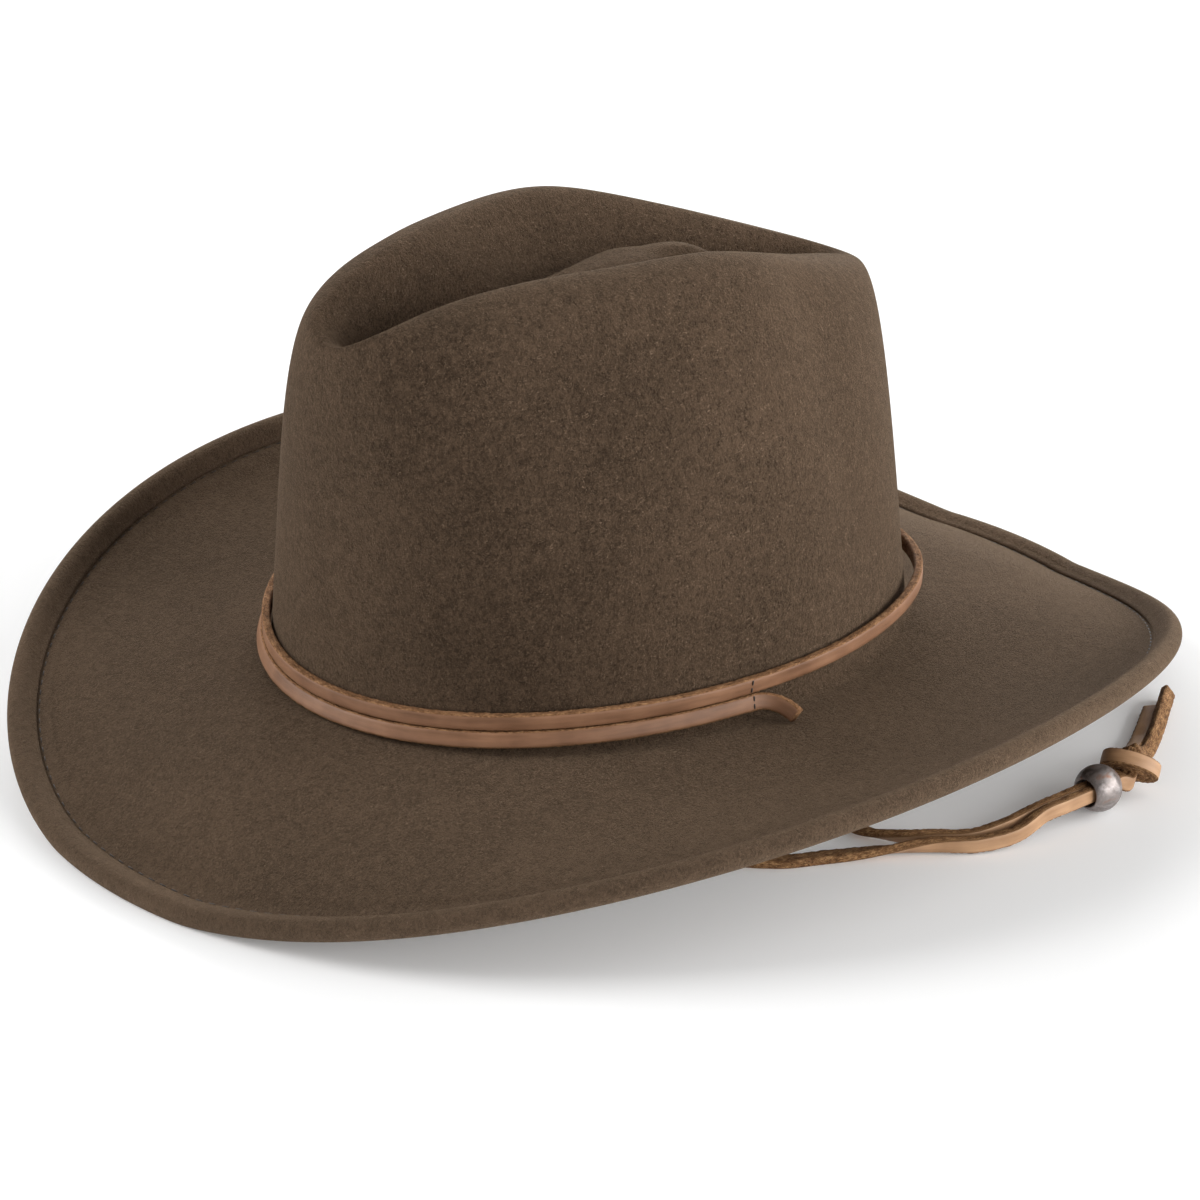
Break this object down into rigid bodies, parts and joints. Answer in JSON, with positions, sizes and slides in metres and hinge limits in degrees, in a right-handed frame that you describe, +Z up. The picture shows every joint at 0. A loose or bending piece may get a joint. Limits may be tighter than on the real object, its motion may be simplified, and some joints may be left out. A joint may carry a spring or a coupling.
{
  "type": "western felt hat",
  "caption": "Wide-brimmed felt hat with a teardrop crease, rolled brim edge, lace hat band and chin cord with a sliding bead.",
  "frame": {"origin": "middle of the brim's outline, on the surface that the hat stands on", "axes": "+Z up, -Y towards the front of the hat, +X towards the wearer's left"},
  "size_m": [0.336, 0.369, 0.157],
  "materials": {
    "brown_felt": "napped wool felt",
    "sweatband_leather": "smooth thin leather",
    "band_lace": "oiled lace with raw fibrous edges",
    "cord_lace": "oiled lace with raw fibrous edges",
    "dark_thread": "twisted thread",
    "reed_plastic": "matt",
    "spring_steel": "drawn wire",
    "splice_brass": "satin",
    "bow_ribbon": "ribbed ribbon",
    "label_cloth": "woven, blank",
    "antique_copper": "antiqued, worn on the high spots"
  },
  "bodies": {
    "hat": {"felt_body": "brown_felt", "brim_wire": "spring_steel", "wire_splice": "splice_brass", "edge_stitching": "dark_thread", "sweatband": "sweatband_leather", "sweatband_reed": "reed_plastic", "sweatband_stitching": "dark_thread", "sweatband_bow": "bow_ribbon", "size_label": "label_cloth", "cord_tack_left": "dark_thread", "cord_tack_right": "dark_thread", "hat_band_lace": "band_lace", "band_stitch_joint": "dark_thread", "band_stitch_end": "dark_thread", "chin_cord_left": "cord_lace", "chin_cord_right": "cord_lace", "chin_cord_knot": "cord_lace", "chin_cord_tail_left": "cord_lace", "chin_cord_tail_right": "cord_lace"},
    "bead": {"cord_bead": "antique_copper"}
  },
  "joints": [
    {"name": "bead_slide", "type": "slide", "parent": "hat", "child": "bead", "axis": [0, -1, 0], "range_m": [0, 0.02]}
  ]
}
